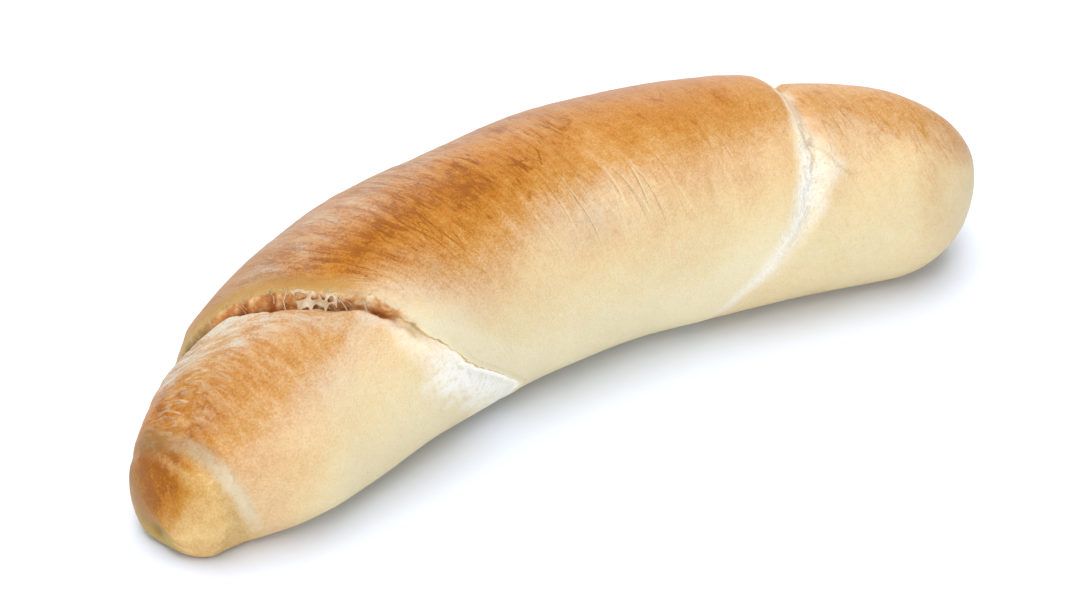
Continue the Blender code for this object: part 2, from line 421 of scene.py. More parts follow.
def leaning(station, angle):
    """Station along which the dough was drawn out, so that lines of the same value lean and wander."""
    spacing, count, reach, seed = WANDER
    lean, steepest = LEAN
    wandered = station + reach * skin_noise(station, angle, spacing, count, seed)
    free = smooth(edge_away(LEFT_LIP, station, angle, 0) / 0.02)
    near, furthest = FOLLOW
    for edge in EDGES:
        here = edge_station(edge, np.degrees(angle))
        shift = np.clip(here - edge_station(edge, 85), -furthest, furthest)
        wandered = wandered - shift * bell(station, here, near)
    return wandered + lean * free * np.sin(angle - math.radians(steepest))


# ---- What the crust looks like where ----
class Skin:
    """Points of the crust; ring, left and right are metres from those edges, positive on the outer wrap."""

    def __init__(self, station, angle):
        self.station, self.angle = station, angle
        self.degrees = turned(np.degrees(angle))
        self.ring, self.left, self.right = [edge_away(edge, station, angle, 0) for edge in EDGES]
        self.ragged = [edge_away(edge, station, angle, 1) for edge in EDGES]
        self.drawn = leaning(station, angle)
        self.front, self.height = section_point(station / LENGTH, angle, 0)

    def near(self, degrees, half):
        """1 at an angle, 0 from half beside it on."""
        return bell(self.degrees, degrees, half)

    def past(self, degrees, width):
        """0 before an angle, 1 from a width past it on."""
        return step(self.degrees, degrees, width)

    def noise(self, spacing, count, seed):
        """Noise over the skin."""
        return skin_noise(self.station, self.angle, spacing, count, seed)

    def drawn_noise(self, spacing, count, seed):
        """Noise drawn out with the dough."""
        return skin_noise(self.drawn, self.angle, spacing, count, seed)


def between(points, at):
    """Value at a place, on straight lines through (place, value) points."""
    places, values = np.array(points).T
    return np.interp(at, places, values)


def streaks(p):
    """How streaked the skin is: most on the nose, the left wrap and the ridge of the middle one."""
    middle_wrap = smooth(p.left / 0.006) * smooth(p.right / 0.012) * p.near(95, 80)
    middle_wrap *= 1 - 0.75 * step(p.station, 0.085, 0.04)
    left_wrap = smooth(-p.left / 0.001) * p.near(110, 90)
    far_wrap = 0.45 * smooth(-p.right / 0.002) * p.near(80, 90)
    streaked = 0.15 + middle_wrap + 1.3 * left_wrap + far_wrap + 0.7 * smooth(0.5 - p.ring / 0.003)
    from_tip = np.minimum(p.station, LENGTH - p.station)
    return streaked * (0.2 + 0.8 * step(from_tip, 0.002, 0.006))


def stretched(p):
    """Where the shoulder of the middle wrap, and the top of the left one, carry stretch marks."""
    return np.maximum(bell(p.station, 0.108, 0.04) * p.near(46, 30), 0.6 * pinched(p))


# How brown each stretch of the crust is round the roll: (degrees, browning)
SNOUT_BAKED = (
    (-60, 0.34), (-25, 0.33), (5, 0.35), (25, 0.4), (45, 0.47), (55, 0.57), (65, 0.67), (75, 0.75),
    (85, 0.83), (110, 0.86), (135, 0.88), (165, 0.66), (195, 0.4), (230, 0.34),
)
LEFT_BAKED = (
    (-60, 0.08), (-25, 0.08), (5, 0.1), (15, 0.15), (25, 0.21), (35, 0.3), (45, 0.42), (55, 0.57),
    (65, 0.68), (75, 0.72), (95, 0.74), (115, 0.77), (135, 0.8), (160, 0.52), (190, 0.22), (225, 0.08),
)
MIDDLE_BAKED = (
    (-60, 0.02), (-25, 0.02), (-10, 0.05), (5, 0.12), (15, 0.17), (25, 0.25), (35, 0.36), (45, 0.5),
    (55, 0.65), (65, 0.78), (75, 0.88), (85, 0.91), (100, 0.87), (115, 0.86), (135, 0.8), (155, 0.62),
    (175, 0.36), (200, 0.14), (230, 0.04),
)
FAR_BAKED = (
    (-60, 0.14), (-25, 0.14), (5, 0.12), (20, 0.14), (35, 0.2), (45, 0.26), (55, 0.36), (65, 0.47),
    (75, 0.57), (85, 0.64), (100, 0.66), (120, 0.67), (145, 0.56), (170, 0.34), (200, 0.14), (230, 0.1),
)
# Lighter patches of the middle wrap: how much, (station, half length), (degrees, half width)
# The two patches on the shoulder, at 46 and 57 degrees, are painted sheen
LIGHTER_AND_SHEEN = (
    (0.05, (0.094, 0.022), (84, 30)),
    (0.08, (0.106, 0.03), (46, 20)),
    (0.09, (0.142, 0.018), (57, 20)),
)
# Each end: station and height of a place inside that its baking spreads round, and the most baked way out
# from there, towards the nose, the back and the top
NOSE_HEART = (0.01, 0.009)
NOSE_HEAT = (0.6, 0.57, 0.56)
FAR_HEART = (0.184, 0.013)
FAR_HEAT = (-0.1, 0.35, 0.93)


def towards_heat(p, heart, heat):
    """How far the way out from a heart points to the most baked side: -1 away from it, 1 straight to it."""
    out = np.stack([heart[0] - p.station, -p.front, p.height - heart[1]])
    return np.tensordot(np.array(heat), out / np.linalg.norm(out, axis=0), 1)


def nose_streak(p):
    """1 along the light streak between the two brown patches of the nose."""
    streak = bell(p.ragged[0] * 1000 - between(NOSE_STREAK, p.degrees), 0, 1.1)
    return streak * p.past(56, 20) * p.past(134, -34)


def browning(p):
    """How far the crust is browned: 0 pale, 1 dark golden brown."""
    snout, left_wrap, middle_wrap, far_wrap = [
        round_curve(points, p.degrees) for points in (SNOUT_BAKED, LEFT_BAKED, MIDDLE_BAKED, FAR_BAKED)
    ]
    left_wrap += (snout - left_wrap) * step(p.station, 0.026, -0.014)
    left_wrap -= 0.12 * step(p.left, -0.006, 0.005) * p.near(80, 60)
    left_wrap -= 0.22 * step(p.left, -0.016, 0.012) * p.near(112, 26)
    middle_wrap -= 0.08 * step(p.right, 0.018, -0.011)
    middle_wrap -= 0.16 * step(p.station, 0.09, 0.02) * p.near(74, 46)
    for amount, along, around in LIGHTER_AND_SHEEN:
        middle_wrap -= amount * bell(p.station, *along) * p.near(*around)
    middle_wrap -= 0.34 * step(p.left, 0.013, -0.012) * p.past(95, -40)
    middle_wrap *= 0.4 + 0.6 * smooth(p.right / (0.005 - 0.0032 * p.past(58, 20)))
    middle_wrap *= 0.7 + 0.3 * smooth(p.left / 0.003)
    far_wrap += 0.1 * step(p.station, 0.172, 0.012) * p.near(20, 80)
    far_end = 0.16 + 0.44 * np.clip((towards_heat(p, FAR_HEART, FAR_HEAT) - 0.1) / 0.8, 0, 1.05) ** 1.4
    far_wrap += (far_end - far_wrap) * step(p.station, 0.176, 0.012)
    spread = np.where(p.left > 0, np.where(p.right > 0, middle_wrap, far_wrap), left_wrap)
    heated = (towards_heat(p, NOSE_HEART, NOSE_HEAT) - 0.1) / 0.78
    nose = 0.43 + 0.57 * np.clip(heated, 0, 1.02) ** 2.3
    patchy = p.noise(0.005, 14, 25) + 0.8 * p.drawn_noise(0.0012, 12, 26)
    nose += 0.14 * patchy * step(nose, 0.4, 0.3)
    nose -= 0.2 * p.past(116, 28) * step(p.station, 0.001, 0.002)
    nose += 0.16 * bell(p.station, 0.0004, 0.0016) * p.near(116, 50)
    nose -= 0.2 * nose_streak(p)
    spread += (nose - spread) * smooth(0.5 - p.ring / 0.0024)
    blotch = p.noise(0.014, 10, 21) + 0.8 * p.noise(0.006, 22, 22)
    return np.clip(spread + 0.06 * blotch * smooth(spread / 0.3), 0, 1)


def dust_and_sheen(p):
    """Dusty bloom over the browned skin, beside the left lip and on the nose's ring, with painted sheen along
    the shoulder and the ridge, at the back edge and near the far end.
    """
    beside_lip = 0.62 * smooth(-p.left / 0.0005) * step(p.left, -0.015, 0.011)
    beside_lip *= p.past(36, 26) * p.past(168, -30)
    beside_lip *= 0.72 + 0.6 * p.past(82, 16)
    left_top = (0.12 + 0.12 * step(p.left, -0.014, 0.006)) * smooth(-p.left / 0.001)
    left_top *= smooth(p.ring / 0.004)
    left_top *= p.near(85, 60)
    # The shoulder, ridge and far-end terms, and the one for the back edge, are painted sheen
    shoulder_sheen = 0.3 * bell(p.station, 0.031, 0.026) * smooth(-p.left / 0.001) * p.near(42, 26)
    over_lip = 0.38 * smooth(p.left / 0.001) * step(p.left, 0.022, -0.018) * p.near(42, 40)
    ridge_sheen = 0.34 * bell(p.station, 0.1, 0.024) * p.near(42, 24)
    far_end = 0.2 * smooth(-p.right / 0.004) * bell(p.station, 0.16, 0.024) * p.near(55, 40)
    back_edge_sheen = (0.1 + 0.26 * step(p.station, 0.09, -0.03)) * smooth(p.left / 0.006) * p.near(112, 32)
    around = bell(p.ring, 0.0002, 0.0018) * (0.12 + 0.26 * p.near(18, 56))
    around += 0.12 * bell(p.ring, 0.0, 0.004)
    around *= p.past(-45, 25) * p.past(120, -40)
    below_lip = 0.52 * bell(p.left, -0.009, 0.006) * p.near(98, 24)
    streak = 0.2 * nose_streak(p)
    uneven = 1 + 0.35 * p.noise(0.004, 26, 23)
    uneven += 0.25 * p.noise(0.0015, 60, 24)
    places = [beside_lip, left_top, shoulder_sheen, over_lip, ridge_sheen, far_end, back_edge_sheen, around, below_lip, streak]
    return np.clip(np.maximum.reduce(places) * uneven, 0, 1)


def umber(p):
    """Dull brown of the nose's back, and of its ring there."""
    beside_ring = 0.98 * bell(p.ring, 0.0004, 0.0034) * p.near(128, 46)
    return np.maximum(beside_ring, 0.75 * smooth(0.5 - p.ring / 0.003) * p.near(170, 60))


def pale_highlit_ring(p):
    """1 where the nose's ring shows pale, with a painted highlight."""
    low = 0.24 + 0.76 * p.past(66, -30)
    return p.past(-38, 25) * low * p.past(122, -28)


def pinched(p):
    """Where the top of the left wrap is wrinkled, from beside the nose's ring to its middle."""
    return bell(p.station, 0.016, 0.014) * smooth(-p.left / 0.002) * p.near(112, 44)


def cream(p):
    """Pale, barely baked skin on both sides of the right lip."""
    right = p.ragged[2]
    uneven = 1 + 0.2 * p.noise(0.003, 50, 36)
    to_top = p.past(60, 20)
    width = 0.0044 + 0.0072 * p.near(40, 36) + 0.0016 * p.near(5, 30) + 0.0016 * to_top
    width *= uneven
    wide = smooth((right + width) / 0.0058) * smooth((0.0034 - 0.0022 * to_top - right) / 0.003)
    wide *= p.past(-50, 30) * p.past(150, -60)
    return wide * (0.68 + 0.26 * p.past(66, -14))


def flour(p):
    """Where floury dough shows white: in the right lip's groove, and under the left lip's closed part."""
    left, right = p.ragged[1:]
    uneven = 1 + 0.2 * p.noise(0.002, 70, 31) + 0.12 * p.noise(0.0008, 170, 32)
    width = (0.0024 + 0.0022 * p.near(32, 28)) * uneven
    band = smooth((right + width) / 0.003) * step(right, 0.0016, -0.002)
    band *= p.past(-50, 30) * p.past(130, -40)
    band *= 0.1 + 0.34 * p.past(62, -18) + 0.42 * p.near(32, 30)
    patch_width = (0.006 + 0.0115 * p.past(48, -60)) * uneven
    patch = smooth((left + patch_width) / (0.7 * patch_width)) * smooth(-left / 0.0004)
    patch *= p.past(62, -24) * p.past(-62, 20) * (0.45 + 0.55 * p.past(30, -24))
    return np.clip(np.maximum(band, patch), 0, 1)


def opened(p):
    """1 where the left lip is torn open, 0 where it lies closed."""
    degrees = p.degrees + 5 * ring_noise(p.angle, 90, 34)
    return step(degrees, 42, 7) * step(degrees, 136, -16)


def shaded_hollow(p):
    """1 in the middle of each hollow of the torn wall, where its colour is also painted darker as shade."""
    hollows = [share * p.near(middle, half) for middle, half, share in HOLLOWS]
    return np.maximum.reduce(hollows + [0.4 * p.past(84, 8)]) - 0.45 * p.past(78, -10)


def raised(p):
    """1 where the wrap below the lip swells up into the gap."""
    return p.near(116, 32)


def raw_tip(p):
    """The raw, pale end of the core round the dent, at the nose's tip, painted darker as the shade near the
    floor.
    """
    uneven = 0.0009 * ring_noise(p.angle, 19, 33)
    apart = np.hypot(0.85 * (p.front + DENT_BACK + 0.0004), p.height - dent_height() + 0.0018) + uneven
    return step(apart, 0.0058, -0.0022) * near_tip(p.station)


def dent_shade(p):
    """The dent's floor, painted darker as shade."""
    apart = np.hypot(p.front + DENT_BACK, p.height - dent_height())
    return smooth(1.2 - apart / 0.0018) * near_tip(p.station)


def shaded_crease(p):
    """1 along the short crease beyond the right lip, and along the crevice beside that lip; both are cut in
    and painted darker as shade.
    """
    apart = np.radians(p.degrees - between(CREASE, p.station * 1000)) * HALF_WIDTH
    short = np.exp(-((apart / 0.0005) ** 2)) * step(p.station, 0.153, 0.001) * step(p.station, 0.166, -0.006)
    apart = p.station * 1000 - between(CREVICE, p.degrees) - 0.5 * ring_noise(p.angle, 90, 38)
    return np.maximum(short, 0.8 * bell(apart, 0, 0.9) * p.past(38, 8) * p.past(72, -10))


def layer(noise, spacing, count, height, seed):
    """Noise at its height."""
    return height * noise(spacing, count, seed)


def fine_relief(p):
    """Outward offset of wrinkles, soft dimples, crumpled dough and the torn wall, and of the rim below it."""
    ring, left, right = p.ragged
    wrinkled = sum(layer(p.drawn_noise, *wrinkles) for wrinkles in WRINKLES) * streaks(p)
    wrinkled *= 1 + 1.3 * bell(p.station, 0.013, 0.014) * p.near(118, 52)
    spacing, count, height, seed = CRUMPLES
    crumpled = height * (0.4 - np.abs(p.drawn_noise(spacing, count, seed)))
    crumpled *= bell(right, -0.0026, 0.0046) * p.near(45, 85)
    marks = layer(p.drawn_noise, *STRETCHES) * stretched(p)
    tears = layer(p.noise, *TEARS) * (bell(left, 0.0002, 0.0022) * lip_deepness(p.degrees))
    tears -= HOLLOW_DEPTH * shaded_hollow(p) * bell(left, 0.0002, 0.0022)
    tears += 0.0012 * bell(left, -0.001, 0.003) * p.near(81, 15)
    rim = bell(left, -0.0024, 0.0022) * (0.0018 * raised(p) + 0.001 * p.near(53, 14))
    rim -= 0.0011 * bell(left, 0.0014, 0.0036) * p.near(160, 32)
    filled = bell(right, -0.0031, np.where(right > -0.0031, 0.0056, 0.0098))
    filled *= p.past(86, -30) * p.past(-50, 40)
    filled *= 0.0007 + 0.0004 * p.near(40, 30)
    filled -= 0.0011 * bell(right, -0.003, 0.0036) * p.near(122, 36)
    folds = 0.00026 * bell(ring, 0.0003, 0.0008) - 0.0003 * bell(ring, 0.0013, 0.0007)
    folds -= 0.0002 * bell(ring, -0.001, 0.0007)
    folds *= p.near(75, 100) * (1 + 0.6 * ring_noise(p.angle, 60, 37))
    fine = wrinkled + layer(p.noise, *BLISTERS) + crumpled + marks + tears + rim + filled + folds
    return (fine - 0.0003 * shaded_crease(p)) * end_cap(p.station / LENGTH) * base_fade(p.angle)


# ---- Crust: one closed fine mesh, with the baking stored on its points ----
def store(mesh, name, values):
    """Keep a number or a vector for each point."""
    kind, field = ("FLOAT", "value") if values.ndim == 1 else ("FLOAT_VECTOR", "vector")
    attribute = mesh.attributes.new(name, kind, "POINT")
    attribute.data.foreach_set(field, values.astype(np.float32).ravel())


def with_tips(values):
    """Values of the rings between the tips, followed by one for each tip."""
    flat = values.reshape(values.shape[0], values.shape[1], -1)
    tips = np.stack([flat[0].mean(axis=0), flat[-1].mean(axis=0)])
    return np.squeeze(np.vstack([flat[1:-1].reshape(-1, flat.shape[2]), tips]))


def ring_faces(first, columns):
    """Faces between a ring of points, numbered from the first, and the next ring."""
    following = [(j + 1) % columns for j in range(columns)]
    return [(first + j, first + k, first + columns + k, first + columns + j) for j, k in enumerate(following)]


def closed_faces(rings, columns):
    """Faces of a ball of rings of points, with its two tips as the last two points."""
    faces = [face for i in range(rings - 1) for face in ring_faces(i * columns, columns)]
    first, last = rings * columns, rings * columns + 1
    for j in range(columns):
        k = (j + 1) % columns
        faces.append((first, k, j))
        faces.append((last, (rings - 1) * columns + j, (rings - 1) * columns + k))
    return faces


def crust_grid():
    """Station and angle of every point of the crust's mesh."""
    ring, turn = grid(np.arange(RINGS + 1), COLUMNS)
    angle = turn - CROWDING * np.sin(turn - math.radians(CROWD_AT))
    return ring_stations(ring, [share * RINGS for share in RING_SHARES], angle), angle


def make_crust(material):
    """The roll's skin."""
    p = Skin(*crust_grid())
    points = with_tips(roll_surface(p.station, p.angle, fine_relief(p), 1)) - cad_middle()
    points = np.clip(points, np.array(cad_low), np.array(cad_high))
    mesh = bpy.data.meshes.new("crust")
    mesh.from_pydata(points.tolist(), [], closed_faces(RINGS - 1, COLUMNS))
    round_it = [HALF_WIDTH * np.cos(p.angle), HALF_WIDTH * np.sin(p.angle)]
    looks = dict(
        browning=browning(p), dust_and_sheen=dust_and_sheen(p), flour=flour(p), opened=opened(p), shaded_hollow=shaded_hollow(p),
        raised=raised(p), umber=umber(p), pale_highlit_ring=pale_highlit_ring(p), pinched=pinched(p), cream=cream(p),
        stretched=stretched(p), shaded_crease=shaded_crease(p), raw_tip=raw_tip(p), dent_shade=dent_shade(p), streaks=streaks(p),
        from_ring=np.clip(p.ragged[0] * 1000, -8, 8),  # millimetres, near the ring and the lip
        from_left_lip=np.clip(p.ragged[1] * 1000, -8, 8),
        flap=p.near(35, 8),  # pale, over the right end of the torn lip
        cracked=p.past(-26, 16) * p.past(52, -8),  # the left lip's closed front shows as a fine line
        closing=p.past(122, 14) * p.past(215, -30),  # the left lip closes again at the back
        over_lip=lip_deepness(p.degrees) * p.past(56, 24),  # the skin is drawn thin over the left lip's edge
        # painted shade: the back of the middle wrap darker towards its edge
        back_edge_shade=0.5 * p.near(126, 34) * smooth(p.left / 0.004) * smooth(p.right / 0.01),  # duller at the back
        # painted shade beside the ring's fold over the top
        ring_fold_shade=0.5 * bell(p.ring, 0.0006, 0.002) * p.near(72, 42),  # duller where the ring goes over the top
        drawn=np.stack([p.drawn] + round_it, axis=-1),  # where the dough was before it was drawn out
    )
    for name, values in looks.items():
        store(mesh, name, with_tips(values))
    add_piece("crust", mesh, material)


def put(name, data):
    """Put an object in the scene."""
    placed = bpy.data.objects.new(name, data)
    bpy.context.scene.collection.objects.link(placed)
    return placed


def add_piece(name, mesh, material):
    """Put a mesh in the scene as a piece of the roll."""
    mesh.shade_smooth()
    mesh.materials.append(material)
    piece = put(name, mesh)
    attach(piece, "root")
    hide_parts("roll")


# ---- Dough across the gap under the left lip ----
def at_lip(degrees, away, lift=0.0):
    """Points of the crust at a distance above the left lip, lifted outward."""
    degrees, away, lift = np.broadcast_arrays(np.asarray(degrees, float), away, lift)
    return roll_surface(edge_station(LEFT_LIP, degrees) + away, np.radians(degrees), lift, 0) - cad_middle()


def make_web(name, material, span, holes):
    """Thin web between the lip and the wrap below, with round holes torn in it."""
    columns, rows = WEB_STEPS
    places = np.linspace(*span, columns + 1)
    degrees, down = np.meshgrid(places, np.linspace(0, 1, rows + 1), indexing="ij")
    upper = at_lip(degrees, *WEB_TOP)
    lower = at_lip(degrees + ACROSS, *WEB_FOOT)
    outward = at_lip(degrees, 0.0, 1.0) - at_lip(degrees, 0.0)
    outward /= np.linalg.norm(outward, axis=-1, keepdims=True)
    share = down[..., None]
    points = upper * (1 - share) + lower * share + outward * WEB_BULGE * (4 * share * (1 - share))
    arc = np.concatenate([[0], np.cumsum(np.linalg.norm(np.diff(points[:, 0], axis=0), axis=1))])
    drop = np.linalg.norm(lower - upper, axis=-1)
    mesh = bmesh.new()
    verts = [[mesh.verts.new(point) for point in row] for row in points]
    for i in range(columns):
        for j in range(rows):
            if not in_hole(degrees[i, j], down[i, j], arc, drop[i, j], places, holes):
                mesh.faces.new((verts[i][j], verts[i + 1][j], verts[i + 1][j + 1], verts[i][j + 1]))
    bmesh.ops.delete(mesh, geom=[v for v in mesh.verts if not v.link_faces], context="VERTS")
    bmesh.ops.smooth_vert(mesh, verts=[v for v in mesh.verts if v.is_boundary], factor=0.5,
                          use_axis_x=True, use_axis_y=True, use_axis_z=True)
    bmesh.ops.solidify(mesh, geom=list(mesh.faces), thickness=WEB_THICKNESS)
    bmesh.ops.recalc_face_normals(mesh, faces=list(mesh.faces))
    web = bpy.data.meshes.new(name)
    mesh.to_mesh(web)
    mesh.free()
    add_piece(name, web, material)


def in_hole(degrees, down, arc, drop, places, holes):
    """Whether a place on the web lies in one of its holes or past its hollow sides."""
    here = np.interp(degrees, places, arc)
    for middle, share, wide, tall in holes:
        across = (here - np.interp(middle, places, arc)) / wide
        deep = (down - share) * drop / tall
        turn = math.atan2(deep, across)
        rim = 1 + 0.14 * math.sin(3 * turn + middle) + 0.1 * math.sin(2 * turn - middle)
        if math.hypot(across, deep) < rim:
            return True
    hollow_side = 0.001 * (4 * down * (1 - down)) ** 0.5
    return here < hollow_side + 0.0005 * down or here > arc[-1] - hollow_side - 0.0022 * down


def make_strands(material):
    """Fine strands of dough across the gap, some torn off half way, and frayed ends standing on the lip."""
    random = np.random.default_rng(STRAND_SEED)
    points, faces = [], []
    share = np.linspace(0, 1, STRAND_POINTS)
    for i in range(STRANDS):
        start = random.choice(STRAND_PLACES) + random.normal(0, 1.3)
        out = at_lip(start, 0.0, 0.001) - at_lip(start, 0.0)
        upper = at_lip(start, random.uniform(0.001, 0.0018), 0.0)
        along = (at_lip(start + 4, 0.0) - at_lip(start - 4, 0.0)) * random.uniform(-0.3, 0.3)
        if random.uniform() < CROSSING:
            lower = at_lip(start + ACROSS + random.uniform(-4, 4), random.uniform(-0.0028, -0.0014))
            reach = random.choice((1.0, 1.0, 0.5))
            path = upper + (lower - upper) * (share * reach)[:, None]
            path += (out * random.uniform(-0.2, 0.35) + 0.7 * along) * np.sin(np.pi * share)[:, None]
            thick = random.uniform(0.00004, 0.0001) * (1 + 0.9 * (2 * share - 1) ** 4)
        else:
            long = random.uniform(0.3, 0.8)
            path = upper - 0.1 * out + out * (share * long)[:, None] + 1.3 * along * (share**2)[:, None]
            thick = random.uniform(0.00006, 0.00011) * (1 - 0.8 * share)
        path += random.normal(0, 0.00005, (STRAND_POINTS, 3)).cumsum(axis=0) * 0.7
        add_tube(points, faces, path, thick)
    mesh = bpy.data.meshes.new("dough_strands")
    mesh.from_pydata([tuple(point) for point in points], [], faces)
    add_piece("dough_strands", mesh, material)


def add_tube(points, faces, path, thick, sides=8):
    """Add a closed round tube along a path, with its own thickness at each point."""
    first = len(points)
    ways = np.gradient(path, axis=0)
    for i, (middle, way, radius) in enumerate(zip(path, ways, thick)):
        side = np.cross(way, (0.3, 0.2, 1.0))
        side /= np.linalg.norm(side)
        up = np.cross(side, way / np.linalg.norm(way))
        for turn in np.arange(sides) * 2 * np.pi / sides:
            points.append(middle + radius * (side * np.cos(turn) + up * np.sin(turn)))
        if i:
            faces.extend(ring_faces(first + (i - 1) * sides, sides))
    faces.append(tuple(range(first, first + sides))[::-1])
    faces.append(tuple(range(len(points) - sides, len(points))))


# ---- Materials ----
def srgb(red, green, blue):
    """Linear colour, from screen values of 0 to 255."""
    def linear(value):
        value /= 255
        return value / 12.92 if value <= 0.04045 else ((value + 0.055) / 1.055) ** 2.4
    return (linear(red), linear(green), linear(blue), 1.0)


# Browning and the colour that it gives
BAKING = (
    (0.00, 236, 222, 182),
    (0.12, 234, 213, 166),
    (0.25, 230, 200, 149),
    (0.38, 221, 183, 133),
    (0.5, 209, 163, 112),
    (0.62, 198, 144, 76),
    (0.74, 187, 126, 52),
    (0.86, 178, 111, 28),
    (1.00, 150, 84, 10),
)
# Grey-beige of the dusty bloom, also used for painted sheen
DUST_AND_SHEEN_COLOUR = srgb(205, 196, 178)
FLOUR_COLOUR = srgb(254, 250, 238)
RIM_COLOUR = srgb(188, 160, 108)
# Painted shadow in the closed gap at the back of the left lip
GAP_SHADOW_COLOUR = srgb(128, 100, 56)
# Olive tone with painted shade, on the edge above the left lip
OLIVE_SHADE_COLOUR = srgb(176, 138, 80)
FLAP_COLOUR = srgb(192, 164, 116)
CREAM_COLOUR = srgb(243, 232, 209)
# Painted shade along the back edge
BACK_EDGE_SHADE_COLOUR = srgb(166, 130, 96)
GOLDEN_TINT = (0.94, 0.98, 0.58, 1.0)
UMBER_COLOUR = srgb(148, 108, 60)
# Painted shade beside the ring's fold
RING_FOLD_SHADE_COLOUR = srgb(152, 136, 110)
# Pale cream of the ring, also used for the painted highlights on the folds
FOLD_HIGHLIGHT_COLOUR = srgb(222, 206, 176)
FOLD_SHADE = srgb(146, 108, 60)
CRACK_COLOUR = srgb(176, 146, 98)
# Painted shade in the crease and crevice
CREASE_SHADE_COLOUR = srgb(200, 160, 110)
# Raw dough of the tip, painted darker with the shade near the floor
RAW_AND_SHADE_COLOUR = srgb(172, 144, 84)
# Painted shade in the dent
DENT_SHADE_COLOUR = srgb(150, 120, 62)
# Torn wall's tone, its dark end standing for painted shade and its pale end for painted light
TORN_TONE_AND_SHADE = (
    (0.00, 158, 92, 44),
    (0.35, 190, 126, 70),
    (0.6, 212, 162, 108),
    (1.00, 238, 214, 174),
)
CRUMB = (
    (0.00, 172, 136, 96),
    (0.45, 194, 168, 136),
    (1.00, 220, 202, 174),
)


class Nodes:
    """Short names for building a material's nodes."""

    def __init__(self, name):
        self.material = bpy.data.materials.new(name)
        self.material.use_nodes = True
        self.tree = self.material.node_tree
        self.shader = self.tree.nodes["Principled BSDF"]

    def link(self, source, target):
        self.tree.links.new(source, target)

    def feed(self, socket, value):
        if isinstance(value, bpy.types.NodeSocket):
            self.link(value, socket)
        else:
            socket.default_value = value

    def new(self, kind, inputs):
        node = self.tree.nodes.new("ShaderNode" + kind)
        for name, value in inputs.items():
            self.feed(node.inputs[name], value)
        return node

    def shade(self, name, value):
        self.feed(self.shader.inputs[name], value)

    def attribute(self, name):
        node = self.new("Attribute", {})
        node.attribute_name = name
        return node

    def stored(self, name):
        return self.attribute(name).outputs["Fac"]

    def place(self):
        return self.new("TexCoord", {}).outputs["Object"]

    def math(self, operation, *inputs):
        node = self.new("Math", dict(enumerate(inputs)))
        node.operation = operation
        return node.outputs[0]

    def times(self, first, *factors):
        for factor in factors:
            first = self.math("MULTIPLY", first, factor)
        return first

    def total(self, first, *terms):
        """Sum of (socket, weight) terms."""
        result = self.times(*first)
        for value, weight in terms:
            result = self.math("MULTIPLY_ADD", value, weight, result)
        return result

    def spread(self, value, low, high, to_low=0.0, to_high=1.0):
        """The value's range from low to high, spread over another one and kept within it."""
        ends = {"From Min": low, "From Max": high, "To Min": to_low, "To Max": to_high}
        return self.new("MapRange", {"Value": value, **ends}).outputs["Result"]

    def noise(self, place, scale, detail, roughness):
        """Noise around 0."""
        inputs = {"Vector": place, "Scale": scale, "Detail": detail, "Roughness": roughness}
        return self.math("SUBTRACT", self.new("TexNoise", inputs).outputs["Fac"], 0.5)

    def drawn_noise(self, along, around, start, detail, roughness):
        """Noise drawn out with the dough, in steps along the roll and round it."""
        dough = self.attribute("drawn").outputs["Vector"]
        scaled = self.new("VectorMath", {0: dough, 1: (along, around, around), 2: (start, start, start)})
        scaled.operation = "MULTIPLY_ADD"
        return self.noise(scaled.outputs["Vector"], 1.0, detail, roughness)

    def lines(self, along, around, start, half):
        """Thin wandering lines, 1 along each and 0 beyond half of the noise from it."""
        away = self.math("ABSOLUTE", self.drawn_noise(along, around, start, 0.0, 0.55))
        return self.spread(away, half, 0.2 * half)

    def dots(self, place, scale, radius, share):
        """Scattered small dots, in that share of cells of the scale."""
        node = self.new("TexVoronoi", {"Vector": place, "Scale": scale})
        chosen = self.math("LESS_THAN", node.outputs["Color"], share)
        return self.times(self.spread(node.outputs["Distance"], radius, 0.5 * radius), chosen)

    def mix(self, amount, a, b, way="MIX"):
        node = self.tree.nodes.new("ShaderNodeMix")
        node.data_type = "RGBA"
        node.blend_type = way
        self.feed(node.inputs["Factor"], amount)
        self.feed(node.inputs["A"], a)
        self.feed(node.inputs["B"], b)
        return next(o for o in node.outputs if o.type == "RGBA")

    def cover(self, colour, *layers):
        """The colour under (amount, colour) layers, the last one on top."""
        for amount, tint in layers:
            colour = self.mix(amount, colour, tint)
        return colour

    def ramp(self, value, stops):
        node = self.new("ValToRGB", {"Fac": value})
        elements = node.color_ramp.elements
        while len(elements) < len(stops):
            elements.new(0.5)
        for element, (place, *screen) in zip(elements, stops):
            element.position = place
            element.color = srgb(*screen)
        return node.outputs["Color"]

    def bump(self, height, distance, normal=None):
        node = self.new("Bump", {"Height": height, "Distance": distance, "Strength": 1.0})
        if normal is not None:
            self.link(normal, node.inputs["Normal"])
        return node.outputs["Normal"]


